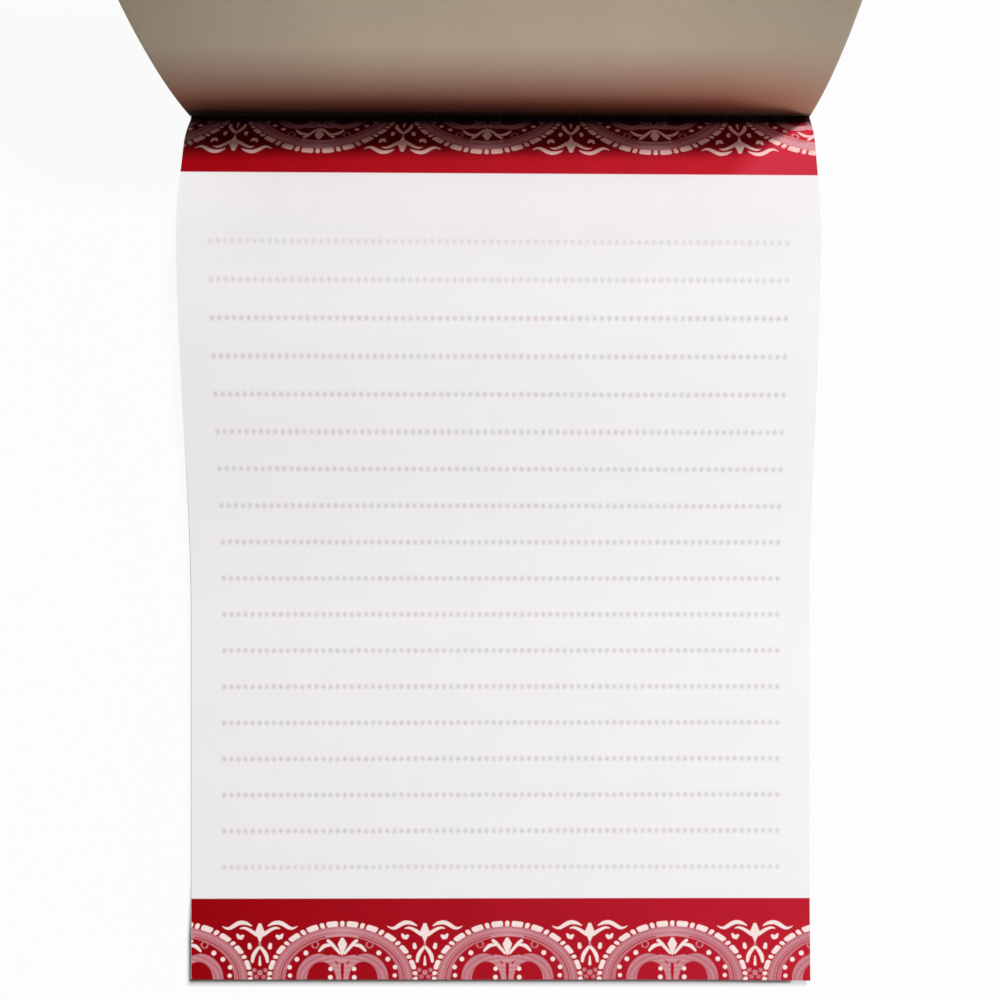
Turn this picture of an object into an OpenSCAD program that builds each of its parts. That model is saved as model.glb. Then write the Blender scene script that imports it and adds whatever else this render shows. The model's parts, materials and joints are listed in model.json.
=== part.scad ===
// Top-bound writing pad with its card cover lifted.
// The pad lies on its backing board. The sheets are glued along the head, at +Y,
// and swell up beside the binding, so that the top sheet dips into a gutter there.
// The cover is hinged at that gutter and stands up, curling back from the page.
// Origin: middle of the board's underside. +X is to the reader's right, +Y to the head.

/* [Sheets] */
// Width of a sheet
sheet_w = 148; // [100:1:220]
// Length of a sheet from tail to head
sheet_l = 210; // [170:1:300]
// Thickness of the closed stack of sheets
stack_t = 6; // [4:0.5:14]
// Width of the flat strip that the glue holds down along the head
glued_strip = 1; // [0.8:0.1:3]

/* [Swell beside the binding] */
// Rise of the top sheet above the flat stack
swell_h = 11; // [8:0.5:18]
// Distance from the glued strip to the crest of the swell
rise_run = 30.5; // [28:0.5:50]
// Part of the rise that the sheets spring up steeply beside the glue
spring_h = 3; // [1:0.5:5]
// Distance over which they spring up
spring_run = 9; // [7:0.5:20]
// Distance from the crest to where the sheets lie flat again
fall_run = 90; // [60:1:110]
// Number of leaf bundles that fan out at the sides
bundles = 15; // [8:1:18]
// Depth of the air gaps between bundles, from each side
fan_depth = 3; // [1:0.5:8]
// Narrowest air gap between two bundles
fan_gap_min = 0.2; // [0.1:0.05:0.3]

/* [Cover] */
// Thickness of the card
cover_t = 0.4; // [0.3:0.05:0.8]
// Lean of the cover towards the page where it leaves the fold, in degrees
fold_lean = 5; // [0:0.5:20]
// Length of the tighter curl beside the fold
curl_l = 90; // [50:1:120]
// Radius of the tighter curl beside the fold
curl_r = 140; // [120:5:300]
// Radius of the slack curve towards the free edge
slack_r = 420; // [320:10:800]

/* [Binding] */
// Thickness of the backing board
board_t = 0.9; // [0.5:0.1:2]
// Thickness of the glue film over the head
glue_t = 0.4; // [0.3:0.1:0.8]
// Running gap under the cover's fold
fold_gap = 0.3; // [0.2:0.05:0.5]

/* [Hidden] */
$fn = 96;
curve_steps = 24;
// Share of the climb to the crest after which it starts to level off
level_from = 0.7;

tail_y = -sheet_l / 2;
head_y = sheet_l / 2;
stack_top = board_t + stack_t;
swell_run = rise_run + fall_run;

// Even climb from 0 to 1 that levels off smoothly over its last part
function climb(t) =
    (t - pow(max(t - level_from, 0), 2) / (2 - 2 * level_from)) * 2 / (1 + level_from);

// Height of the top sheet's swell at a distance from the glued strip: the sheets spring
// up in a quarter sine, climb on to the crest and fall in half a cosine wave to the flat.
function swell(u) =
    u <= 0 || u >= swell_run ? 0
    : u < rise_run ? spring_h * sin(90 * min(u / spring_run, 1)) + (swell_h - spring_h) * climb(u / rise_run)
    : swell_h * (1 + cos(180 * (u - rise_run) / fall_run)) / 2;

// Distances at which the swell is sampled, from its start to its end
swell_steps = concat(
    [for (i = [0 : curve_steps - 1]) rise_run * i / curve_steps],
    [for (i = [0 : curve_steps]) rise_run + fall_run * i / curve_steps]
);

// Length of the swell measured along the sheet, from one step to the last
function swell_length(i = 1) =
    i >= len(swell_steps) ? 0
    : norm([swell_steps[i] - swell_steps[i - 1], swell(swell_steps[i]) - swell(swell_steps[i - 1])])
      + swell_length(i + 1);

// All sheets have one length, so the swell draws the top sheet's head edge back
// and the glued head leans towards the tail by that much.
gutter_y = head_y - (swell_length() - swell_run);
swell_y = gutter_y - glued_strip;

// The card is swollen to a round bead where it folds, over the middle of the glued strip.
fold_d = 1.3 * cover_t;
fold_y = gutter_y - glued_strip / 2;
fold_z = stack_top + fold_gap + fold_d / 2;

// Bundle k keeps its own thickness and rises with its share of the swell.
bundle_t = stack_t / bundles;
function bundle_share(k) = k / (bundles - 1);
function bundle_base(k, u) = board_t + k * bundle_t + bundle_share(k) * swell(u);

// Extrudes a section drawn as [y, z] points across the sheet's width.
module across(width) {
    rotate([90, 0, 90])
        linear_extrude(height = width, center = true)
            children();
}

// Stack seen from the side, with the leaning head and the swell.
module stack_section() {
    polygon(concat(
        [[tail_y, board_t], [head_y, board_t], [gutter_y, stack_top]],
        [for (u = swell_steps) [swell_y - u, stack_top + swell(u)]],
        [[tail_y, stack_top]]
    ));
}

// Air gap above bundle k, where the fan has opened it far enough.
module fan_gap_section(k) {
    step_up = bundle_share(k + 1) - bundle_share(k);
    open_steps = [for (u = swell_steps) if (step_up * swell(u) > fan_gap_min) u];
    last = len(open_steps) - 1;
    polygon(concat(
        [for (u = open_steps) [swell_y - u, bundle_base(k, u) + bundle_t]],
        [for (i = [last : -1 : 0]) [swell_y - open_steps[i], bundle_base(k + 1, open_steps[i])]]
    ));
}

// The sheets, glued into one block at the head and fanned out at the swell
module sheet_stack() {
    color("white")
    difference() {
        across(sheet_w) stack_section();
        for (side = [-1, 1], k = [0 : bundles - 2])
            translate([side * sheet_w / 2, 0, 0])
                across(2 * fan_depth) fan_gap_section(k);
    }
}

// Grey board that the sheets lie on
module backing_board() {
    color("tan")
    translate([-sheet_w / 2, tail_y, 0])
        cube([sheet_w, sheet_l, board_t]);
}

// Film of padding glue over the board's edge and the sheets' leaning head
module glue_film() {
    lean = atan2(head_y - gutter_y, stack_t);
    knee = glue_t * tan(lean / 2);
    color("ivory")
    across(sheet_w)
        polygon([
            [head_y, 0],
            [head_y + glue_t, 0],
            [head_y + glue_t, board_t + knee],
            [gutter_y + glue_t / cos(lean), stack_top],
            [gutter_y, stack_top],
            [head_y, board_t]
        ]);
}

// Strip of card that follows a circle about the X axis. Angles count from the side
// that faces the tail, turning up towards the head.
module curled_card(radius, from, to) {
    rotate([90, 0, -90])
        rotate([0, 0, from])
            rotate_extrude(angle = to - from)
                translate([radius - cover_t / 2, -sheet_w / 2])
                    square([cover_t, sheet_w]);
}

// Card cover: a round fold on the hinge line, a tighter curl and a slack curve
module cover() {
    curl_angle = curl_l / curl_r * 180 / PI;
    free_angle = curl_angle + (sheet_l - curl_l) / slack_r * 180 / PI;
    curl_centre = [0, curl_r, 0];
    slack_centre = curl_centre + (slack_r - curl_r) * [0, cos(curl_angle), -sin(curl_angle)];
    color("linen")
    translate([0, fold_y, fold_z])
    rotate([fold_lean, 0, 0])
    union() {
        rotate([0, 90, 0])
            cylinder(d = fold_d, h = sheet_w, center = true);
        translate(curl_centre)
            curled_card(curl_r, 0, curl_angle);
        translate(slack_centre)
            curled_card(slack_r, curl_angle, free_angle);
    }
}

backing_board();
sheet_stack();
glue_film();
cover();
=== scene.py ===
import json
import math
import bpy
import numpy as np
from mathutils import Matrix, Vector


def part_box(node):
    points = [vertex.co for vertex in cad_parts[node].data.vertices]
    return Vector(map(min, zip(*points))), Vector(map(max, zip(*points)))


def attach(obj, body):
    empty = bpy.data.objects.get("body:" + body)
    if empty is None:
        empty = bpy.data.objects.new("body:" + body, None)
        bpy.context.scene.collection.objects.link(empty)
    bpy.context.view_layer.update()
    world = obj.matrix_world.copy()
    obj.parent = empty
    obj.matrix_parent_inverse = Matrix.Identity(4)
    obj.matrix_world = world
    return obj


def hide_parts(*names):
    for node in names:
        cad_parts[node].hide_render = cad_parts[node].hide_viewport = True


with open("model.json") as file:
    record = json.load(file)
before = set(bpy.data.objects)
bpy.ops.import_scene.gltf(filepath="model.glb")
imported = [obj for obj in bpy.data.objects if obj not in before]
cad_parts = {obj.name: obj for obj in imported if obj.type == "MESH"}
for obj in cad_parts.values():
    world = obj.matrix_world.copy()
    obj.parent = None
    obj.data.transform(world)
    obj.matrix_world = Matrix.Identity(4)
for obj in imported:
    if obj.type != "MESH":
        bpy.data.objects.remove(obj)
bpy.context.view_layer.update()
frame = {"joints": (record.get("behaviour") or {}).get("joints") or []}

mm = 0.001
dice = np.random.default_rng(11)

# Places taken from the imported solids, in millimetres
boardHigh = np.array(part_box("backing_board")[1]) / mm
stackLow, stackHigh = (np.array(corner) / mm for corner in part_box("sheet_stack"))
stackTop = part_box("glue_film")[1].z / mm          # the glue ends level with the flat stack
foldY, foldZ = np.array(frame["joints"][0]["pos_m"][1:]) / mm
halfWidth, tailY, headY, boardTop = stackHigh[0], stackLow[1], boardHigh[1], boardHigh[2]
sheetLength = headY - tailY
print("frame read: sheet", round(2 * halfWidth, 1), "x", round(sheetLength, 1), "mm")


def srgb(r, g, b):
    # screen colour 0..255 to linear light
    v = np.array((r, g, b)) / 255
    return tuple(np.where(v < 0.04045, v / 12.92, ((v + 0.055) / 1.055) ** 2.4)) + (1.0,)


class Tone:
    # one number that varies over a surface; arithmetic on it adds Math nodes
    def __init__(self, finish, socket):
        self.finish, self.socket = finish, socket

    def maths(self, operation, *values):
        return self.finish.add("ShaderNodeMath", {"operation": operation}, dict(enumerate(values)))

    def __add__(self, other):
        return self.maths("ADD", self, other)

    def __sub__(self, other):
        return self.maths("SUBTRACT", self, other)

    def __rsub__(self, other):
        return self.maths("SUBTRACT", other, self)

    def __mul__(self, other):
        return self.maths("MULTIPLY", self, other)

    def __truediv__(self, other):
        return self.maths("DIVIDE", self, other)

    def __neg__(self):
        return self.maths("MULTIPLY", self, -1.0)

    def __abs__(self):
        return self.maths("ABSOLUTE", self)

    __radd__, __rmul__ = __add__, __mul__

    def least(self, other):
        return self.maths("MINIMUM", self, other)

    def most(self, other):
        return self.maths("MAXIMUM", self, other)

    def sine(self):
        return self.maths("SINE", self)

    def root(self):
        return self.maths("SQRT", self)

    def near(self, step):
        # distance to the nearest multiple of step, with its sign
        return self.maths("WRAP", self, step / 2, -step / 2)

    def above(self, edge, soft):
        # 0 below the edge, 1 above it, smooth over the given width
        return self.finish.add("ShaderNodeMapRange", {"interpolation_type": "SMOOTHSTEP"},
                               {"Value": self, "From Min": edge - soft / 2, "From Max": edge + soft / 2})

    def below(self, edge, soft):
        return self.finish.add("ShaderNodeMapRange", {"interpolation_type": "SMOOTHSTEP"},
                               {"Value": self, "From Min": edge - soft / 2, "From Max": edge + soft / 2,
                                "To Min": 1.0, "To Max": 0.0})

    def span(self, low, high, atLow, atHigh):
        # straight line from atLow to atHigh, held outside
        return self.finish.add("ShaderNodeMapRange", {},
                               {"Value": self, "From Min": low, "From Max": high,
                                "To Min": atLow, "To Max": atHigh})


class Graph:
    # a node tree that expressions fill in
    def __init__(self, tree):
        self.tree = tree

    def add(self, kind, settings, sockets, out=0):
        node = self.tree.nodes.new(kind)
        for name, value in settings.items():
            setattr(node, name, value)
        for key, value in sockets.items():
            self.put(node.inputs[key], value)
        return Tone(self, node.outputs[out])

    def put(self, socket, value):
        if isinstance(value, Tone):
            self.tree.links.new(value.socket, socket)
        else:
            socket.default_value = value

    def xy(self, place):
        # a place's first two coordinates
        first = self.add("ShaderNodeSeparateXYZ", {}, {0: place})
        return first, Tone(self, first.socket.node.outputs[1])

    def seen(self):
        # 1 where the camera or a reflection looks, 0 for the light that is cast
        camera = self.add("ShaderNodeLightPath", {}, {}, out="Is Camera Ray")
        rays = camera.socket.node.outputs
        return (camera + Tone(self, rays["Is Glossy Ray"]) + Tone(self, rays["Is Transmission Ray"])).least(1.0)


class Finish(Graph):
    # a material with one Principled shader
    def __init__(self, name, **constants):
        self.material = bpy.data.materials.new(name)
        self.material.use_nodes = True
        super().__init__(self.material.node_tree)
        self.shader = self.tree.nodes["Principled BSDF"]
        self.paint(**constants)

    def paint(self, **sockets):
        for socket, value in sockets.items():
            self.put(self.shader.inputs[socket.replace("_", " ")], value)

    def mixed(self, amount, first, second):
        # colour from first to second by amount
        return self.add("ShaderNodeMix", {"data_type": "RGBA"}, {0: amount, 6: first, 7: second}, out=2)

    def shaded(self, colour, amount):
        # colour multiplied by a number
        return self.add("ShaderNodeMix", {"data_type": "RGBA", "blend_type": "MULTIPLY"},
                        {0: 1.0, 6: colour, 7: amount}, out=2)

    def attribute(self, name, out):
        return self.add("ShaderNodeAttribute", {"attribute_name": name}, {}, out=out)

    def where(self):
        return self.add("ShaderNodeTexCoord", {}, {}, out="Object")

    def scaled(self, place, factors):
        return self.add("ShaderNodeMapping", {}, {"Vector": place, "Scale": factors})

    def noise(self, place, scale, detail=2.0, roughness=0.5):
        return self.add("ShaderNodeTexNoise", {}, {"Vector": place, "Scale": scale, "Detail": detail,
                                                   "Roughness": roughness})

    def vector(self, operation, *values, out=0):
        return self.add("ShaderNodeVectorMath", {"operation": operation}, dict(enumerate(values)), out=out)

    def bump(self, height, distance, strength):
        normal = self.add("ShaderNodeBump", {}, {"Height": height, "Distance": distance, "Strength": strength})
        self.paint(Normal=normal)


def slabFaces(rows, cols):
    # quads of a closed slab: upper grid, lower grid and the rim between them
    spots = np.arange(rows * cols).reshape(rows, cols)
    a, b, c, d = spots[:-1, :-1], spots[:-1, 1:], spots[1:, 1:], spots[1:, :-1]
    upper = np.stack([a, d, c, b], -1).reshape(-1, 4)
    lower = np.stack([a, b, c, d], -1).reshape(-1, 4) + rows * cols
    ring = np.concatenate([spots[0, :-1], spots[:-1, -1], spots[-1, :0:-1], spots[:0:-1, 0]])
    ahead = np.roll(ring, -1)
    rim = np.stack([ring, ahead, ahead + rows * cols, ring + rows * cols], -1)
    return np.concatenate([upper, lower, rim])


hardEdge = math.radians(40)      # corners sharper than this stay hard


def addPiece(name, points, faces, finishes, body, node, attributes=(), wear=None):
    # points in millimetres, quads as an index array, attributes as (name, values) per point,
    # wear as the number of the finish on each quad
    mesh = bpy.data.meshes.new(name)
    mesh.vertices.add(len(points))
    mesh.vertices.foreach_set("co", (points * mm).astype(np.float32).ravel())
    mesh.loops.add(faces.size)
    mesh.loops.foreach_set("vertex_index", faces.astype(np.int32).ravel())
    mesh.polygons.add(len(faces))
    mesh.polygons.foreach_set("loop_start", np.arange(0, faces.size, 4, dtype=np.int32))
    for label, values in attributes:
        kind, key = ("FLOAT_VECTOR", "vector") if values.ndim == 2 else ("FLOAT", "value")
        mesh.attributes.new(label, kind, "POINT").data.foreach_set(key, values.astype(np.float32).ravel())
    if wear is not None:
        mesh.polygons.foreach_set("material_index", wear.astype(np.int32))
    mesh.update(calc_edges=True)
    mesh.validate()
    mesh.shade_smooth()
    mesh.set_sharp_from_angle(angle=hardEdge)
    piece = bpy.data.objects.new(name, mesh)
    bpy.context.scene.collection.objects.link(piece)
    for finish in finishes:
        mesh.materials.append(finish.material)
    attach(piece, body)
    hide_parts(node)
    print("piece", name, len(faces), "quads")


# Sheets

sheets = {
    "leaves": 59,              # loose leaves under the printed one
    "leafThick": 0.094,
    "gluedStrip": 1.0,
    "riseRun": 30.5,           # gutter to crest
    "springHeight": 3.0,       # steep first part of the rise
    "springRun": 9.0,
    "levelFrom": 0.7,          # share of the climb after which it levels off
    "fallRun": 90.0,           # crest to flat
    "clump": 1.2,              # how unevenly the leaves part
    "edgeJog": 0.35,           # how far a leaf may stand back at the sides
    "footJog": 0.21,           # and at the tail
    "leafTones": (0.86, 1.0),  # darkest and lightest leaf
    "edge": srgb(240, 239, 236),
    "edgeInk": srgb(196, 60, 70),     # where the printed bands end in the cut edges
    "topInset": (0.35, 0.12),  # the printed leaf stands back at left and right
    "cornerLift": 0.9,         # the printed leaf's lifted corner
    "cornerReach": 34.0,
    "ripple": 0.06,            # faint waves in the printed leaf
    "rippleAcross": 23.0,
    "rippleAlong": 31.0,
    "rippleRun": (39.0, 169.0),       # they grow from the first length to the second
    "sunk": 0.005,             # the printed leaf keeps this far inside the solid
}
gutterY = foldY + sheets["gluedStrip"] / 2
riseY = gutterY - sheets["gluedStrip"]            # where the leaves start to rise
crest = stackHigh[2] - stackTop


def swell(u):
    # rise of the top leaf at a distance from the glued strip: a quarter sine springs up beside the glue,
    # an even climb levels off at the crest, and half a cosine wave falls to the flat
    rise, fall, spring, level = (sheets[key] for key in ("riseRun", "fallRun", "springHeight", "levelFrom"))
    t = np.clip(u / rise, 0, 1)
    climb = (t - np.maximum(t - level, 0) ** 2 / (2 - 2 * level)) * 2 / (1 + level)
    up = spring * np.sin(np.pi / 2 * np.clip(u / sheets["springRun"], 0, 1)) + (crest - spring) * climb
    down = crest * (1 + np.cos(np.pi * np.clip((u - rise) / fall, 0, 1))) / 2
    return np.where(u < rise, up, down)


def topPath(s):
    # place (y, z) of the top leaf at a length s along the paper from its head edge
    run = np.linspace(0, gutterY - tailY, 4000)
    height = swell(run - sheets["gluedStrip"])
    length = np.concatenate([[0], np.cumsum(np.hypot(np.diff(run), np.diff(height)))])
    along = np.interp(s, length * sheetLength / length[-1], run)
    return gutterY - along, stackTop + swell(along - sheets["gluedStrip"])


printed = {
    "bandHeight": 19.4,        # red band at head and tail
    "repeat": 39.38,           # one arch to the next
    "tailShift": 1.75,         # an arch's middle at the tail, right of the page's middle
    "headShift": -2.85,        # the same at the head
    "askewAt": (20, 50, 90, 150),     # the print lies askew, by these slopes at these lengths
    "askew": (0.007, 0.002, 0.002, -0.0015),
    "headDrop": 0.25,          # and the head band stands this far from the head edge
    "dropTo": (20, 36),        # a shift that is gone by the rules
    "soft": 0.26,              # softness of the ink's edge
    "spread": 0.12,            # how far the ink runs into the fibres
    "inkShadeLeft": srgb(155, 0, 10),      # painted shade and sheen: the red is darker towards the left and paler towards the right
    "inkSheenRight": srgb(192, 27, 46),
    "inkCornerHighlight": srgb(201, 47, 66),   # painted highlight: paler red in the head's right corner, where the key light passes the cover's shadow
    "cornerSlant": 0.9,        # this corner's edge runs aslant, soft between two places
    "cornerEdge": (69, 75),
    "cornerHighlight": 0.7,         # painted highlight: how much paler the mauve is there
    "paintedShadow": (10.5, 14.5),     # painted shadow of the cover: the ink is darker nearer the head than these lengths
    "shadowRed": 0.66,          # how much that darkens the red and the mauve
    "shadowMauve": 0.15,
    "gutterShade": (2.4, 4.8),      # painted shade: the head's first millimetres, deep in the gutter, are dark
    "gutterShadeTone": 0.05,
    "headShade": 0.12,          # painted shade: the paper is darker towards the glued head
    "sideShade": (0.02, 0.07),  # less so at its left and right sides
    "sideFrom": (-52, 45),     # which begin here
    "shadeTo": (20, 50),        # and it clears between these lengths
    "white": srgb(254, 232, 228),
    "whiteRedBounce": srgb(250, 202, 199), # painted reflection of the red in the shade: pinker at the head, turning white between two lengths
    "bounceTo": (14, 18),
    "mauve": srgb(192, 108, 118),
    "mauvePale": srgb(216, 154, 161),
    "paper": srgb(242, 240, 243),
    "ruleGrey": srgb(206, 203, 205),
    "ruleRose": srgb(215, 199, 201),
    "firstRule": 36.8,         # head edge to the first rule
    "ruleStep": 8.606,
    "rules": 18,
    "ruleHalf": 66.75,         # half a rule's length
    "ruleShift": 0.18,         # a rule's middle, right of the page's middle
    "dotStep": 1.692,
    "dotRadius": 0.42,
    "dotSoft": 0.8,
    "dotShape": (0.8, 0.6),    # weight of the distance across and along the page
    "dotRagged": 0.3,          # how far the grain breaks a dot's edge
    "faintFirst": (6, 16, 0.7),       # the first rules are fainter, up to these distances
    "faintLast": (9, 0.8),     # and so is the last
    "roseScale": (0.07, 0.11, 1),     # grey turns to rose and back, in broad changes
    "roseLeft": 0.0015,        # with more rose towards the left
}
# Ornament of one repeat, in millimetres: across from the arch's middle, or from the middle
# between two arches, and up from the sheet's end. A brush stroke is (x, y, radius) points.
arch = {
    "dashRing": (17.45, 13.35), "dashStep": 4.8, "dashGapAt": 0.78, "dashGapHalf": 0.26, "dashRound": 0.46,
    "dashCrowd": (13.5, 0.15),                            # they crowd from this length on, by this share
    "dashThin": (8, 17, 0.66, 0.55),                      # half width, thinner between these places
    "ringOuter": (16.75, 12.75), "ringInner": (13.6, 10.3),
    "ringLine": 2.1, "ringLineHalf": 0.13, "ringLineFrom": 4,
    "paleLines": 5.2, "paleTone": (0.3, 0.35),            # waves outwards, in radians per millimetre
    "crownPale": (0, 6, 0.45, 0.0),                       # the arch's crown is paler
    "hatch": (8.5, 3.0), "hatchTone": (2, 7, 0.0, 0.28),  # waves along and outwards, stronger down the sides
    "beads": [(8.7, 6.4, 0.58), (10.85, 4.9, 0.56), (12.6, 3.0, 0.54), (12.5, 1.0, 0.5)],
    "stemDots": [(2.8, 2.6, 0.52), (2.85, 0.55, 0.56)],
    "bud": (5.6, 8.5, 10.0), "budHalf": 1.12, "budTip": 0.3,
    "blade": [(0.55, 6.3, 0.3), (1.6, 7.5, 0.36), (2.7, 8.7, 0.42), (3.4, 9.3, 0.36)],
    "droop": [(2.8, 8.25, 0.25), (3.9, 8.2, 0.42), (4.7, 7.75, 0.42), (5.5, 6.9, 0.26)],
    "curl": (6.5, 8.35, 0.75), "curlHalf": 0.16,
    "lobe": (5.6, 0.2), "lobeSize": (5.35, 6.0), "hollow": (5.0, 0.0), "hollowSize": (3.5, 4.3),
    "stemAt": 0.72, "stemHalf": 0.34, "stemHigh": 5.0,
    "flare": [(0.3, 4.7, 0.75), (1.5, 5.1, 0.62), (2.9, 5.5, 0.45)],
}
finial = {
    "bud": (8.8, 11.4, 13.45), "budHalf": 1.15, "budTip": 0.32,
    "leafLow": [(0.8, 10.8, 0.45), (1.7, 11.4, 0.42), (2.7, 12.0, 0.36), (3.8, 12.4, 0.28), (4.7, 12.25, 0.12)],
    "leafHigh": [(2.0, 12.9, 0.14), (3.2, 13.5, 0.38), (4.6, 13.65, 0.48), (5.8, 13.15, 0.48),
                 (7.0, 12.4, 0.4), (8.0, 12.3, 0.24), (8.9, 12.75, 0.08)],
    "crescent": [(4.1, 10.45, 0.34), (4.5, 10.1, 0.5), (5.0, 10.2, 0.46), (5.35, 10.75, 0.28)],
    "drop": [(2.4, 7.75, 0.48), (2.5, 8.4, 0.4)],
    "stem": [(0.0, 9.2, 0.2), (0.0, 8.0, 0.32)],
    "loop": [(0.25, 7.7, 0.34), (1.05, 6.7, 0.44), (1.6, 5.6, 0.46), (1.8, 4.4, 0.34)],
    "seed": [(0.0, 5.6, 0.14), (0.0, 3.7, 0.36)],
    "knot": [(0.0, 1.7, 0.62), (0.85, 0.7, 0.5), (1.3, 2.3, 0.5), (2.0, 1.1, 0.42)],
}


def curved(points, parts=2):
    # smooth curve through (x, y, radius) points: each span in equal parts of a cubic whose slope runs on
    p = np.array(points)
    p = np.vstack([2 * p[0] - p[1], p, 2 * p[-1] - p[-2]])
    a, b, c, d = p[:-3], p[1:-2], p[2:-1], p[3:]
    t = (np.arange(parts) / parts)[None, :, None]
    a, b, c, d = (q[:, None, :] for q in (a, b, c, d))
    curve = b + (c - a) * t / 2 + (a - 2.5 * b + 2 * c - d / 2) * t ** 2 + (1.5 * (b - c) + (d - a) / 2) * t ** 3
    return [tuple(q) for q in np.vstack([curve.reshape(-1, 3), p[-2:-1]])]


def disc(place, circle):
    # signed distance to a circle
    x, y, radius = circle
    return place.finish.vector("DISTANCE", place, (x, y, 0), out="Value") - radius


def stroke(place, points):
    # signed distance to a brush stroke: straight spans whose radius runs from point to point
    def span(start, stop):
        step = np.array((stop[0] - start[0], stop[1] - start[1], 0))
        offset = place.finish.vector("SUBTRACT", place, (start[0], start[1], 0))
        share = place.finish.vector("DOT_PRODUCT", offset, tuple(step / (step @ step)), out="Value")
        share = place.finish.add("ShaderNodeClamp", {}, {"Value": share})
        nearest = place.finish.add("ShaderNodeVectorMath", {"operation": "SCALE"}, {0: tuple(step), "Scale": share})
        reach = place.finish.vector("DISTANCE", offset, nearest, out="Value")
        return reach - share.maths("MULTIPLY_ADD", share, stop[2] - start[2], start[2])
    return merged(span(*ends) for ends in zip(points, points[1:]))


def merged(shapes):
    # nearest of several shapes; each is made and joined in turn, so that few values are held at once
    whole = None
    for shape in shapes:
        whole = shape if whole is None else whole.least(shape)
    return whole


def oval(x, y, size):
    # signed distance to an ellipse about the origin, good near its line
    across, up = x / size[0], y / size[1]
    radius = (across * across + up * up).root()
    slopeX, slopeY = across / size[0], up / size[1]
    return (radius - 1) * radius / (slopeX * slopeX + slopeY * slopeY).root()


def bud(x, y, heights, half, tip):
    # signed width of a bud: widens from a point to half, then narrows to tip
    low, wide, high = heights
    width = y.span(low, wide, 0.0, half).least(y.span(wide, high, half, tip))
    return (x - width).most(y - high).most(low - y)


def paperStart(name, **constants):
    # a finish with the leaf's flat coordinates in millimetres, its fibres, and its bare paper colour with painted
    # shade towards the head
    look = Finish(name, **constants)
    flat = look.attribute("flatMm", "Vector")
    fibre, cloud, grain = look.noise(flat, 1.4, 3.0), look.noise(flat, 0.09, 2.0), look.noise(flat, 5.0, 2.0)
    x, s = look.xy(flat)
    # painted shade: the paper darkens towards the head, less at its left and right sides
    (left, right), (leftFrom, rightFrom), most = printed["sideShade"], printed["sideFrom"], printed["headShade"]
    paintedShade = x.span(-halfWidth, leftFrom, left, most).least(x.span(rightFrom, halfWidth, most, right))
    paper = look.shaded(printed["paper"], cloud.span(0.3, 0.7, 0.985, 1.0) * fibre.span(0.25, 0.75, 0.985, 1.0)
                        * (1 - paintedShade * s.span(*printed["shadeTo"], 1.0, 0.0)))
    look.bump(fibre + grain * 0.5, 0.00004, 0.35)
    return look, x, s, fibre, cloud, grain, paper


def ruledFinish():
    # bare paper with dotted rules: the nearest rule, and the nearest dot on it
    look, x, s, fibre, _, grain, paper = paperStart("ruled_paper", Specular_IOR_Level=0.2)
    x = x - printed["ruleShift"]
    fromFirst = s - printed["firstRule"]
    last = printed["ruleStep"] * (printed["rules"] - 1)
    beyond = printed["ruleStep"] / 4          # past the dots of the first and last rules
    onPage = fromFirst.above(-beyond, 0.1) * fromFirst.below(last + beyond, 0.1)
    onPage = onPage * abs(x).below(printed["ruleHalf"], 0.3)
    dotX, dotY = x.near(printed["dotStep"]), fromFirst.near(printed["ruleStep"])
    wide, high = printed["dotShape"]
    reach = (dotX * dotX * wide + dotY * dotY * high).root() + (grain - 0.5) * printed["dotRagged"]
    (lastRun, lastFaint), firstFaint = printed["faintLast"], printed["faintFirst"]
    faint = fromFirst.span(*firstFaint, 1.0).least(fromFirst.span(last - lastRun, last, 1.0, lastFaint))
    dot = reach.below(printed["dotRadius"], printed["dotSoft"]) * onPage * faint * fibre.span(0.3, 0.6, 0.65, 1.0)
    hue = look.noise(look.vector("MULTIPLY", look.attribute("flatMm", "Vector"), printed["roseScale"]), 1.0, 1.0)
    rule = look.mixed((hue - x * printed["roseLeft"]).above(0.5, 0.2), printed["ruleGrey"], printed["ruleRose"])
    look.paint(Base_Color=look.mixed(dot, paper, rule), Roughness=fibre.span(0.3, 0.7, 0.72, 0.8))
    return look


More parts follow.
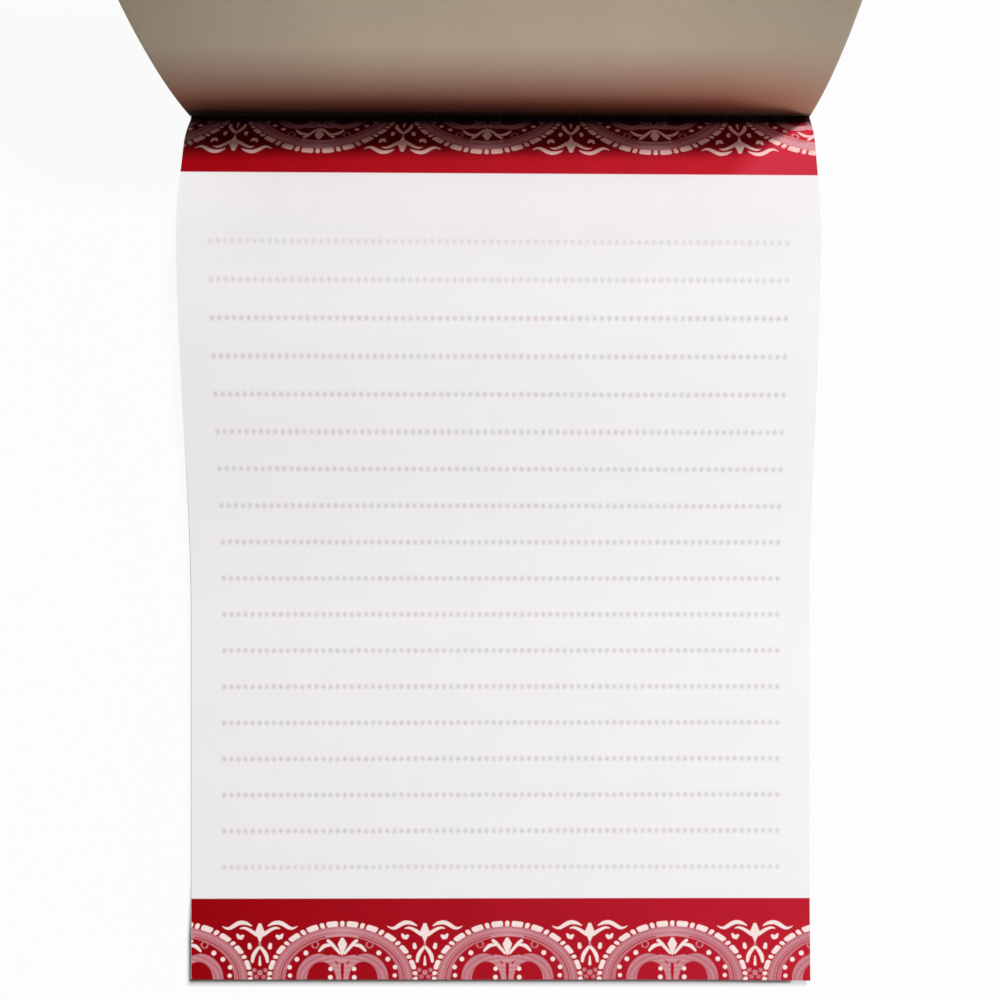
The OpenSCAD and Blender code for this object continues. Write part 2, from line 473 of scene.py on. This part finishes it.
def bandFinish():
    # ink by signed distances: mauve shapes over the red, white shapes over both
    look, x, s, fibre, cloud, grain, paper = paperStart("printed_band", Specular_IOR_Level=0.06)
    soft = printed["soft"]
    spread = (grain - 0.5) * printed["spread"]
    x = x + spread

    # fold both bands into one: end = distance from the sheet's end, side = along the band
    atTail = s.above(sheetLength / 2, 0.01)
    end = s.least(sheetLength - s) + spread
    side = x - (atTail * (printed["tailShift"] - printed["headShift"]) + printed["headShift"])
    a = abs(side.near(printed["repeat"]))     # from the arch's middle
    b = printed["repeat"] / 2 - a             # from the middle between arches
    inArch = look.add("ShaderNodeCombineXYZ", {}, {0: a, 1: end})
    between = look.add("ShaderNodeCombineXYZ", {}, {0: b, 1: end})

    # ring of round-ended dashes: an ellipse cut along its length by turns into long and short ones
    size, rounding = arch["dashRing"], arch["dashRound"]
    turn = a.maths("ARCTAN2", a / size[0], end / size[1])
    along = turn * ((size[0] + size[1]) / 2) + (turn * 2).sine() * ((size[0] - size[1]) / 4)
    crowdFrom, crowd = arch["dashCrowd"]
    along = along + (along - crowdFrom).most(0) * crowd
    half = a.span(*arch["dashThin"])
    gap = arch["dashGapHalf"] - abs(abs(along.near(arch["dashStep"])) - arch["dashGapAt"])
    corner = look.add("ShaderNodeCombineXYZ", {}, {0: abs(oval(a, end, size)) - half + rounding, 1: gap + rounding})
    dashes = look.vector("LENGTH", look.vector("MAXIMUM", corner, (0, 0, 0)), out="Value") - rounding

    # mauve ring with pale lines along it and a hatch across, parted by a fine red line down its sides
    outer, inner = oval(a, end, arch["ringOuter"]), oval(a, end, arch["ringInner"])
    line = arch["ringLineHalf"] - abs(outer + arch["ringLine"])
    ring = outer.most(-inner).most(line.least(a - arch["ringLineFrom"]))
    hatch = (along * arch["hatch"][0] + outer * arch["hatch"][1]).sine() * a.span(*arch["hatchTone"])
    swing, level = arch["paleTone"]
    lines = ((outer * arch["paleLines"]).sine() * swing + level) + a.span(*arch["crownPale"]) + hatch

    # lobes beside the stem, and the stem's two stripes
    lobe = oval(a - arch["lobe"][0], end - arch["lobe"][1], arch["lobeSize"])
    lobe = lobe.most(-oval(a - arch["hollow"][0], end - arch["hollow"][1], arch["hollowSize"]))
    stem = (abs(a - arch["stemAt"]) - arch["stemHalf"]).most(end - arch["stemHigh"])
    mauve = ring.least(lobe).least(stem)
    mauve = mauve.least(abs(disc(inArch, arch["curl"])) - arch["curlHalf"]).least(stroke(inArch, arch["flare"]))
    mauve = mauve.least(merged(disc(between, petal) for petal in finial["knot"]))
    mauve = mauve.least(stroke(between, finial["stem"])).below(0, soft)

    white = dashes.least(stroke(between, finial["crescent"]))
    white = white.least(bud(a, end, arch["bud"], arch["budHalf"], arch["budTip"]))
    white = white.least(bud(b, end, finial["bud"], finial["budHalf"], finial["budTip"]))
    white = white.least(merged(disc(inArch, bead) for bead in arch["beads"] + arch["stemDots"]))
    white = white.least(merged(stroke(inArch, curved(arch[part])) for part in ("blade", "droop")))
    white = white.least(merged(stroke(between, curved(finial[part])) for part in ("leafLow", "leafHigh", "loop")))
    white = white.least(merged(stroke(between, finial[part]) for part in ("drop", "seed"))).below(0, soft)

    inward = (x + s * printed["cornerSlant"]).span(*printed["cornerEdge"], 1.0, 0.0)    # 0 in the head's right corner, where the painted highlight takes the place of the painted shadow
    paintedShadow = s.span(*printed["paintedShadow"], 1.0, 0.0).least(inward)
    # painted shade on the left of the red and painted sheen on its right
    red = look.mixed(x.span(-halfWidth, halfWidth, 0.0, 1.0), printed["inkShadeLeft"], printed["inkSheenRight"])
    inward = (inward + atTail).least(1)
    # painted highlight: paler red in the head's right corner
    red = look.mixed(inward, printed["inkCornerHighlight"], red)
    tint = look.mixed(lines + (1 - inward) * printed["cornerHighlight"], printed["mauve"], printed["mauvePale"])
    # painted shadow of the cover darkens the red and the mauve near the head
    ink = look.mixed(mauve, look.shaded(red, 1 - paintedShadow * printed["shadowRed"]),
                     look.shaded(tint, 1 - paintedShadow * printed["shadowMauve"]))
    # painted reflection: the white ink is pinker at the head, as red light falls on it in the shade
    pale = look.mixed(s.span(*printed["bounceTo"], 0.0, 1.0), printed["whiteRedBounce"], printed["white"])
    ink = look.mixed(white, ink, pale)
    # random ink tone, and painted shade over the head's first millimetres in the gutter
    ink = look.shaded(ink, cloud.span(0.3, 0.7, 0.95, 1.0) * fibre.span(0.25, 0.75, 0.94, 1.0)
                      * s.span(*printed["gutterShade"], printed["gutterShadeTone"], 1.0))
    band = end.below(printed["bandHeight"], soft)
    look.paint(Base_Color=look.mixed(band, paper, ink), Roughness=band * -0.26 + fibre.span(0.3, 0.7, 0.72, 0.8))
    return look


def leafFinish():
    # cut edges of plain leaves, each a little lighter or darker, pink where the printed bands end in them
    look = Finish("leaf_edges", Specular_IOR_Level=0.3)
    place = look.where()
    leaf = look.attribute("leafTone", "Fac")
    s = look.attribute("fromEnd", "Fac")
    fibre = look.noise(look.scaled(place, (900, 900, 9000)), 1.0, 2.0)
    blush = s.below(printed["bandHeight"], 1.0) * fibre.span(0.35, 0.65, 0.1, 0.34)
    paper = look.mixed(blush, sheets["edge"], sheets["edgeInk"])
    look.paint(Base_Color=look.shaded(paper, leaf * fibre.span(0.3, 0.7, 0.93, 1.0)),
               Roughness=fibre.span(0, 1, 0.78, 0.9))
    look.bump(fibre, 0.00003, 0.3)
    return look


def topLeaf():
    # printed leaf: topPath along the length, straight across, with one tail corner curling up
    turn = printed["bandHeight"] + 1.2        # the band's finish ends just past its ink
    flatFrom, tailTurn = 125, sheetLength - turn
    s = np.concatenate([np.linspace(0, 4, 21)[:-1], np.linspace(4, turn, 20)[:-1],
                        np.linspace(turn, flatFrom, 130)[:-1], np.linspace(flatFrom, tailTurn, 40)[:-1],
                        np.linspace(tailTurn, sheetLength, 20)])
    x = np.linspace(-halfWidth + sheets["topInset"][0], halfWidth - sheets["topInset"][1], 65)
    y, z = topPath(s)
    toCorner = np.hypot(x[None, :] - halfWidth, s[:, None] - sheetLength) / sheets["cornerReach"]
    lift = sheets["cornerLift"] * np.clip(1 - toCorner, 0, 1) ** 2
    grown = np.sin(s / sheets["rippleAlong"]) ** 2 * np.interp(s, sheets["rippleRun"], (0, 1))
    ripple = sheets["ripple"] * np.abs(np.sin(x[None, :] / sheets["rippleAcross"] + 1)) * grown[:, None]
    upper = np.stack(np.broadcast_arrays(x[None, :], y[:, None], z[:, None] + lift + ripple - sheets["sunk"]), -1)
    lower = upper - np.array((0, 0, sheets["leafThick"]))
    points = np.concatenate([upper.reshape(-1, 3), lower.reshape(-1, 3)])
    askew = np.interp(s, printed["askewAt"], printed["askew"])
    dropped = np.interp(s, printed["dropTo"], (printed["headDrop"], 0))
    onPrint = (s - dropped)[:, None] - askew[:, None] * x[None, :]
    flat = np.stack(np.broadcast_arrays(x[None, :], onPrint, 0.0), -1).reshape(-1, 3)
    faces = slabFaces(len(s), len(x))
    middle = (s[:-1] + s[1:]) / 2
    inBand = np.repeat((middle < turn) | (middle > tailTurn), len(x) - 1)
    wear = np.concatenate([inBand, np.zeros(len(faces) - len(inBand))])
    return points, faces, [("flatMm", np.tile(flat, (2, 1)))], wear


def looseLeaves():
    # leaf k of the fan: its own level in the stack plus its share of the swell, as slabs in one mesh
    count, thick = sheets["leaves"], sheets["leafThick"]
    parting = 1 + sheets["clump"] * dice.uniform(-1, 1, count) ** 3
    share = np.cumsum(parting) / (parting.sum() + 1)
    level = boardTop + (stackTop - boardTop) * np.arange(count) / (count + 1)
    u = np.concatenate([np.linspace(0, 2.45, 8) ** 2, np.linspace(8, 121, 46), [150, 180]])     # closest at the glue
    head = headY + (gutterY - headY) * (np.arange(count) + 0.5) / (count + 1)
    foot = tailY + dice.uniform(0, sheets["footJog"], count)
    y = np.concatenate([head[:, None], np.broadcast_to(riseY - u, (count, len(u))), foot[:, None]], 1)
    z = level[:, None] + share[:, None] * swell(riseY - y)
    jog = sheets["edgeJog"] * dice.uniform(0, 1, (2, count))
    x = np.stack([-halfWidth + jog[0], halfWidth - jog[1]], -1)
    shape = (*y.shape, 2)
    low = np.stack([np.broadcast_to(x[:, None, :], shape), np.broadcast_to(y[:, :, None], shape),
                    np.broadcast_to(z[:, :, None], shape)], -1)
    high = low + np.array((0, 0, thick))
    points = np.stack([high, low], 1).reshape(-1, 3)
    faces = slabFaces(*shape[1:])
    perLeaf = 2 * shape[1] * 2
    faces = (faces[None] + perLeaf * np.arange(count)[:, None, None]).reshape(-1, 4)
    tone = np.repeat(dice.uniform(*sheets["leafTones"], count), perLeaf)
    fromEnd = np.minimum(headY - points[:, 1], points[:, 1] - tailY)
    return points, faces, [("leafTone", tone), ("fromEnd", fromEnd)]


points, faces, flatMap, wear = topLeaf()
addPiece("top_sheet", points, faces, [ruledFinish(), bandFinish()], "pad", "sheet_stack",
         flatMap, wear)
points, faces, leafMaps = looseLeaves()
addPiece("loose_sheets", points, faces, [leafFinish()], "pad", "sheet_stack", leafMaps)


# Cover

card = {
    "thick": 0.4,
    "foldRadius": 0.26,        # bead at the crease
    "lean": 5.0,               # degrees towards the page at the crease
    "curlRadius": 140.0,
    "curlLength": 90.0,
    "slackRadius": 420.0,
    "inside": srgb(226, 209, 183),
    "crease": srgb(168, 106, 85),     # painted shade and reflected red light: the card darkens and reddens towards its crease
    "creaseRun": (7.0, 31.0),  # fully red up to the first length, and not past the second
    "creaseTone": (0.000065, 0.0035, 0.82),   # lightness of that painted shade from left to right: square, slope and middle
    "creaseMost": 1.25,
    "creaseRight": (52, 0.55), # the painted red is thinner from here to the right edge
    "foldShade": (1.0, 3.4, 0.05),    # dark line beside the fold: between two lengths, and its tone
    "foldSlant": 0.02,         # it narrows to the right
    "fleck": srgb(150, 132, 108),
    "edgeTone": 0.76,          # the inside is darker towards its side edges
    "edgeFrom": 30,
    "outside": srgb(172, 12, 24),
    "core": srgb(214, 205, 190),
    "beadRun": 0.9,            # the bead thins to the card over this length
    "freeCut": ((0, 0.05, 0.15, 0.3), (0.55, 0.8, 0.95, 1)),      # share of the thickness at distances from the cut
    "sideCut": ((0, 0.12, 0.3), (0.6, 0.92, 1)),
}


def coverPath(s):
    # centre line of the card from the fold: a tight arc, then a slack arc that carries on its direction
    tight, slack, length = card["curlRadius"], card["slackRadius"], card["curlLength"]
    start = -math.radians(card["lean"])
    turned = start + length / tight
    angle = start + np.minimum(s, length) / tight
    more = turned + np.maximum(s - length, 0) / slack
    y = tight * (np.cos(start) - np.cos(angle)) + slack * (np.cos(turned) - np.cos(more))
    z = tight * (np.sin(angle) - np.sin(start)) + slack * (np.sin(more) - np.sin(turned))
    heading = np.where(s > length, more, angle)
    y, z = y + np.minimum(s, 0) * np.sin(start), z + np.minimum(s, 0) * np.cos(start)
    heading = np.where(s < 0, start, heading)
    return foldY + y, foldZ + z, heading


def coverCard():
    # slab about coverPath; half the thickness follows the round bead at the fold and a soft cut at the free edge
    bead, half = card["foldRadius"], card["thick"] / 2
    s = np.concatenate([-bead * np.cos(np.linspace(0.05, np.pi / 2, 7)), [0.3, 0.6, 1.0],
                        np.linspace(2, sheetLength - 0.3, 130), sheetLength - np.array((0.15, 0.05, 0.0))])
    x = np.concatenate([[-1, -0.9985], np.linspace(-0.99, 0.99, 29), [0.9985, 1]]) * halfWidth
    y, z, heading = coverPath(np.maximum(s, -bead))
    body = np.where(s < 0, np.sqrt(np.maximum(bead ** 2 - s ** 2, 1e-6)),
                    half + (bead - half) * np.clip(1 - s / card["beadRun"], 0, 1))
    body = body * np.interp(sheetLength - s, *card["freeCut"])
    body = body[:, None] * np.interp(halfWidth - np.abs(x), *card["sideCut"])[None, :]
    shape = body.shape
    towardPage = np.stack([np.zeros_like(s), -np.cos(heading), np.sin(heading)], -1)[:, None, :]
    middle = np.stack(np.broadcast_arrays(x[None, :], y[:, None], z[:, None]), -1)
    inside = middle + towardPage * body[..., None]
    outside = middle - towardPage * body[..., None]
    points = np.concatenate([outside.reshape(-1, 3), inside.reshape(-1, 3)])
    face = np.repeat((1.0, 0.0), shape[0] * shape[1])          # 1 outside, 0 inside
    flat = np.stack(np.broadcast_arrays(x[None, :], s[:, None], 0.0), -1).reshape(-1, 3)
    return points, slabFaces(*shape)[:, ::-1], [("outFace", face), ("flatMm", np.tile(flat, (2, 1)))]


def cardFinish():
    # uncoated card inside with painted shade and reflected red towards the crease, inked outside, pale core where the
    # two faces meet in the cut edge
    look = Finish("cover_card", Specular_IOR_Level=0.2)
    flat = look.attribute("flatMm", "Vector")
    outFace = look.attribute("outFace", "Fac")
    fibre = look.noise(look.scaled(flat, (1.0, 0.55, 1)), 1.6, 4.0, 0.6)
    cloud = look.noise(look.scaled(flat, (0.06, 0.03, 1)), 1.0, 2.0)
    fleck = look.noise(look.scaled(flat, (1.2, 0.5, 1)), 2.2, 1.0)
    inside = look.shaded(card["inside"], fibre.span(0.3, 0.7, 0.95, 1.0) * cloud.span(0.3, 0.7, 0.96, 1.0))
    inside = look.mixed(fleck.above(0.72, 0.05) * 0.25, inside, card["fleck"])
    x, s = look.xy(flat)
    inside = look.shaded(inside, abs(x).span(card["edgeFrom"], halfWidth, 1.0, card["edgeTone"]))
    # painted shade and reflected red light towards the crease, lighter to the right
    square, slope, middle = card["creaseTone"]
    crease = look.shaded(card["crease"], (x * x * square + x * slope + middle).least(card["creaseMost"]))
    thinFrom, thinTo = card["creaseRight"]
    creaseShade = s.span(*card["creaseRun"], 1.0, 0.0) * x.span(thinFrom, halfWidth, 1.0, thinTo)
    inside = look.mixed(creaseShade, inside, crease)
    inside = look.shaded(inside, (s + x * card["foldSlant"]).span(*card["foldShade"], 1.0))
    outside = look.shaded(card["outside"], fibre.span(0.3, 0.7, 0.93, 1.0) * cloud.span(0.3, 0.7, 0.94, 1.0))
    inked = outFace.above(0.95, 0.02)
    cut = outFace.above(0.05, 0.02) * outFace.below(0.95, 0.02)
    colour = look.mixed(inked, inside, outside)
    look.paint(Base_Color=look.mixed(cut, colour, look.shaded(card["core"], fibre.span(0.3, 0.7, 0.9, 1.0))),
               Roughness=inked * -0.35 + fibre.span(0.3, 0.7, 0.78, 0.88))
    look.bump(fibre, 0.00005, 0.3)
    return look


points, faces, cardMaps = coverCard()
addPiece("cover_card", points, faces, [cardFinish()], "cover", "cover", cardMaps)


# Backing board and glue

board = {
    "soft": 0.18,              # rounding of the cut edges
    "crushed": 0.8,            # share of it that shows in the thickness
    "grey": srgb(150, 143, 134),
    "dark": srgb(104, 97, 89),
    "pale": srgb(196, 190, 180),
}


def boardSlab():
    # flat slab whose thickness and outline draw in by the rounding at the rim
    soft = board["soft"]
    inset = np.array((0, 0.3, 1, 4))
    x = np.concatenate([-halfWidth + soft * inset, np.linspace(-60, 60, 9), halfWidth - soft * inset[::-1]])
    y = np.concatenate([headY - soft * inset, np.linspace(90, -90, 11), tailY + soft * inset[::-1]])
    toRim = np.minimum((halfWidth - np.abs(x))[None, :], (headY - np.abs(y))[:, None])
    fall = soft * board["crushed"] * (1 - np.sqrt(1 - np.clip(1 - toRim / soft, 0, 1) ** 2))
    spread = np.broadcast_arrays(x[None, :], y[:, None])
    upper = np.stack([*spread, boardTop - fall], -1)
    lower = np.stack([*spread, fall], -1)
    return np.concatenate([upper.reshape(-1, 3), lower.reshape(-1, 3)]), slabFaces(len(y), len(x))


def boardFinish():
    # recycled chipboard: soft clouds, long fibres and small dark and pale specks
    look = Finish("grey_chipboard", Specular_IOR_Level=0.25)
    place = look.where()
    cloud = look.noise(look.scaled(place, (120, 120, 120)), 1.0, 3.0)
    fibre = look.noise(look.scaled(place, (700, 2600, 2600)), 1.0, 4.0, 0.65)
    speck = look.noise(look.scaled(place, (1500, 1100, 1500)), 1.0, 1.0)
    colour = look.mixed(cloud.span(0.3, 0.7, 0.0, 0.4), board["grey"], board["dark"])
    colour = look.mixed(fibre.above(0.56, 0.1) * 0.45, colour, board["pale"])
    colour = look.mixed(speck.above(0.7, 0.04) * 0.7, colour, board["dark"])
    look.paint(Base_Color=colour, Roughness=fibre.span(0.3, 0.7, 0.82, 0.95))
    look.bump(fibre + cloud * 0.5, 0.00012, 0.5)
    return look


glue = {
    "thick": 0.4,
    "brushed": 0.06,           # depth of the brush marks
    "lip": 0.25,               # rounded upper edge
    "columns": 120,
    "milky": srgb(226, 221, 208),
    "thin": srgb(206, 198, 182),
}


def glueFilm():
    # section carried across the width: over the board's edge, up the leaning head and in a small lip under the fold
    thick, lip, columns = glue["thick"], glue["lip"], glue["columns"]
    lean = math.atan2(headY - gutterY, stackTop - boardTop)
    backY, knee = headY + thick, np.array((headY + thick, boardTop + thick * math.tan(lean / 2)))
    brow = np.array((gutterY + thick / math.cos(lean), stackTop - lip))
    outer = np.array([(backY, 0.0), (backY, boardTop / 2), knee, (knee + brow) / 2, brow,
                      (gutterY + lip, stackTop), (gutterY + 0.05, stackTop)])
    edge, tip = np.array((headY, boardTop)), np.array((gutterY, stackTop - 0.02))
    climb = np.array((0, 0.5, 0.94, 0.97, 1))[:, None]         # along the sheets' heads, from the board to the tip
    inner = np.concatenate([[(headY, 0.0), (headY, boardTop / 2)], edge + (tip - edge) * climb])
    x = np.linspace(-halfWidth, halfWidth, columns)
    mark = glue["brushed"] * (0.5 + 0.5 * np.sin(x / 3.1 + 2 * np.sin(x / 11.0)))
    squeeze = np.array((0, 1, 1, 1, 1, 0.3, 0)) / thick        # where the brush marks the section
    out = outer[:, None, :] + (inner - outer)[:, None, :] * (mark[None, :] * squeeze[:, None])[..., None]
    across = np.broadcast_to(x[None, :, None], (len(outer), columns, 1))
    upper = np.concatenate([across, out], -1)
    lower = np.concatenate([across, np.broadcast_to(inner[:, None, :], out.shape)], -1)
    return np.concatenate([upper.reshape(-1, 3), lower.reshape(-1, 3)]), slabFaces(*out.shape[:2])[:, ::-1]


def glueFinish():
    # dried padding glue: milky with thinner streaks along the brush strokes
    look = Finish("padding_glue", Specular_IOR_Level=0.5, Coat_Weight=0.25, Coat_Roughness=0.35)
    place = look.where()
    streak = look.noise(look.scaled(place, (60, 900, 900)), 1.0, 3.0)
    dab = look.noise(look.scaled(place, (260, 260, 260)), 1.0, 2.0)
    look.paint(Base_Color=look.mixed(streak.span(0.35, 0.65, 0.0, 1.0), glue["milky"], glue["thin"]),
               Roughness=dab.span(0.3, 0.7, 0.38, 0.6))
    look.bump(streak + dab, 0.0001, 0.5)
    return look


points, faces = boardSlab()
addPiece("chipboard_back", points, faces, [boardFinish()], "pad", "backing_board")
points, faces = glueFilm()
addPiece("glued_head", points, faces, [glueFinish()], "pad", "glue_film")


# Camera, floor and light

photo = {
    "size": 1000,              # pixels
    "pixel": 0.23871,          # millimetres on the flat page
    "tailLine": 979.5,         # pixel row of the page's lower edge
    "middle": 500.0,           # pixel column of the page's middle
    "aim": (548.0, 618.0),     # pixel under the lens
    "lens": 40.0,
    "sensor": 36.0,
}
studio = {
    "keyLean": (0.42, 0.352),  # right and back for each metre up, from the fold
    "keyUp": 4.0,
    "keySize": 0.4,
    "keyPower": 200.0,
    "sideFrom": (0.4, 0.08, 0.18),
    "sideAim": (0.0, -0.02, 0.01),
    "sideSize": 0.15,
    "sidePower": 0.33,
    "fillFrom": (0.40, -0.32, 0.05),
    "fillAim": (0.0, 0.1, 0.03),
    "fillSize": 0.12,
    "fillPower": 0.87,
    "roomLight": 0.05,
    "floor": srgb(205, 205, 205),
    "floorReach": 3.0,
    "floorDrop": 0.0002,
    "glow": (0.0031, 0.0042, 0.0, 0.95),      # distances from the pad, and the share of plain white seen there
    "litOut": (0.5, -3.0),     # the shade ends here outside the lit right side and the head
    "litSharp": 10,
    "leftIn": 1.0,             # and starts this far under the left side
    "leftFan": (8.0, 0.07),    # drawing in from this height above the tail, by this slope
}

view = bpy.data.cameras.new("photo_view")
view.lens, view.sensor_width = photo["lens"], photo["sensor"]
view.shift_x = (photo["size"] / 2 - photo["aim"][0]) / photo["size"]
view.shift_y = (photo["aim"][1] - photo["size"] / 2) / photo["size"]
height = photo["lens"] / photo["sensor"] * photo["size"] * photo["pixel"]
camera = bpy.data.objects.new("photo_view", view)
camera.location = ((photo["aim"][0] - photo["middle"]) * photo["pixel"] * mm,
                   (tailY + (photo["tailLine"] - photo["aim"][1]) * photo["pixel"]) * mm,
                   (stackTop + height) * mm)
view.clip_start = 0.005
bpy.context.scene.collection.objects.link(camera)
bpy.context.scene.camera = camera


def addLamp(name, place, aim, size, power):
    lamp = bpy.data.lights.new(name, "AREA")
    lamp.shape, lamp.size, lamp.energy = "DISK", size, power
    holder = bpy.data.objects.new(name, lamp)
    holder.location = place
    holder.rotation_euler = (Vector(place) - Vector(aim)).to_track_quat("Z", "Y").to_euler()
    bpy.context.scene.collection.objects.link(holder)


fold = (0.0, foldY * mm, foldZ * mm)
right, back = studio["keyLean"]
keyPlace = Vector(fold) + Vector((right, back, 1)) * studio["keyUp"]
addLamp("key", keyPlace, fold, studio["keySize"], studio["keyPower"])
for lamp in ("side", "fill"):
    addLamp(lamp, *(studio[lamp + part] for part in ("From", "Aim", "Size", "Power")))

plane = bpy.data.meshes.new("table")
plane.from_pydata([(x * studio["floorReach"], y * studio["floorReach"], -studio["floorDrop"])
                   for x, y in ((-1, -1), (1, -1), (1, 1), (-1, 1))], [], [(0, 1, 2, 3)])
floor = bpy.data.objects.new("table", plane)
bpy.context.scene.collection.objects.link(floor)
ground = Finish("pale_table", Roughness=0.9, Specular_IOR_Level=0.1)
ground.paint(Base_Color=studio["floor"])
across, along = ground.xy(ground.where())
(rightOut, headOut), (fanFrom, fanSlope) = studio["litOut"], studio["leftFan"]
# the key stands right and behind, so the shade lies to the left and below the tail
litSide = (across - (halfWidth + rightOut) * mm).most(along - (headY + headOut) * mm)
leftSide = (along - (tailY + fanFrom) * mm).most(0) * fanSlope - (halfWidth - studio["leftIn"]) * mm - across
beside = leftSide.most(tailY * mm - along).most(litSide * studio["litSharp"])
white = ground.add("ShaderNodeEmission", {}, {"Color": (1, 1, 1, 1), "Strength": 1.0})
table = ground.add("ShaderNodeMixShader", {}, {0: ground.seen() * beside.span(*studio["glow"]),
                                               1: Tone(ground, ground.shader.outputs[0]), 2: white})
ground.tree.links.new(table.socket, ground.tree.nodes["Material Output"].inputs["Surface"])
plane.materials.append(ground.material)

world = bpy.data.worlds.new("room")
bpy.context.scene.world = world
world.use_nodes = True
room = Graph(world.node_tree)
walls = room.tree.nodes["Background"].inputs
room.put(walls["Color"], (1, 1, 1, 1))
room.put(walls["Strength"], room.seen().span(0, 1, studio["roomLight"], 1.0))     # white where the room is seen
bpy.context.scene.view_settings.view_transform = "Standard"
print("camera, table and light placed")
